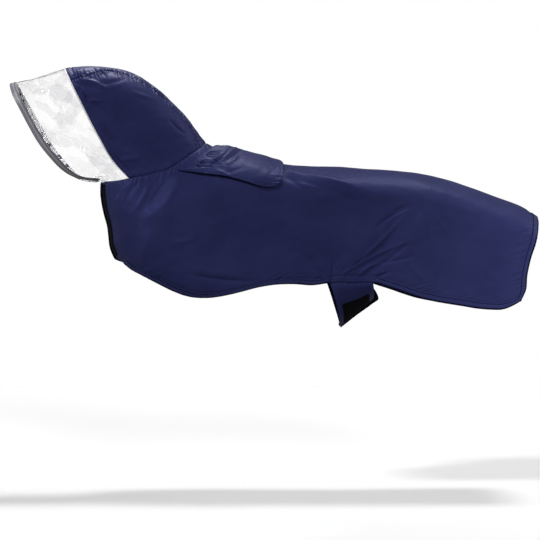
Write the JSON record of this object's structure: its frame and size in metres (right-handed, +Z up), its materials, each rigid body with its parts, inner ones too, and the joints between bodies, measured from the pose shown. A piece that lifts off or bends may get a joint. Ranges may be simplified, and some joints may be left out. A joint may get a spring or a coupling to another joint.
{
  "type": "dog raincoat",
  "caption": "Navy hooded dog raincoat in its worn, hollow shape, with a clear film peak edged in reflective tape, a flap over the withers and a belly strap closed by hook and loop.",
  "frame": {"origin": "middle of the back, on the inner face of the back panel over the withers, where the coat rests on the dog", "axes": "+X towards the tail, +Z up, -Y towards the dog's left side"},
  "size_m": [0.9739, 0.2233, 0.485],
  "materials": {
    "navy_nylon": "satin coated nylon",
    "navy_binding": "woven bias tape",
    "clear_film": "clear soft film",
    "reflective_tape": "grey reflective tape",
    "black_hook_and_loop": "matt pile"
  },
  "bodies": {
    "root": {"back_panel": "navy_nylon", "hood_side_left": "navy_nylon", "hood_side_right": "navy_nylon", "hood_centre": "navy_nylon", "back_flap": "navy_nylon", "belly_strap_left": "navy_nylon", "belly_strap_right": "navy_nylon", "hem_binding_front_left": "navy_binding", "hem_binding_front_right": "navy_binding", "hem_binding_rear": "navy_binding", "peak_film": "clear_film", "peak_tape": "reflective_tape", "chest_loop_strip": "black_hook_and_loop", "chest_hook_strip": "black_hook_and_loop", "belly_loop_patch": "black_hook_and_loop", "belly_hook_patch": "black_hook_and_loop"}
  },
  "joints": []
}
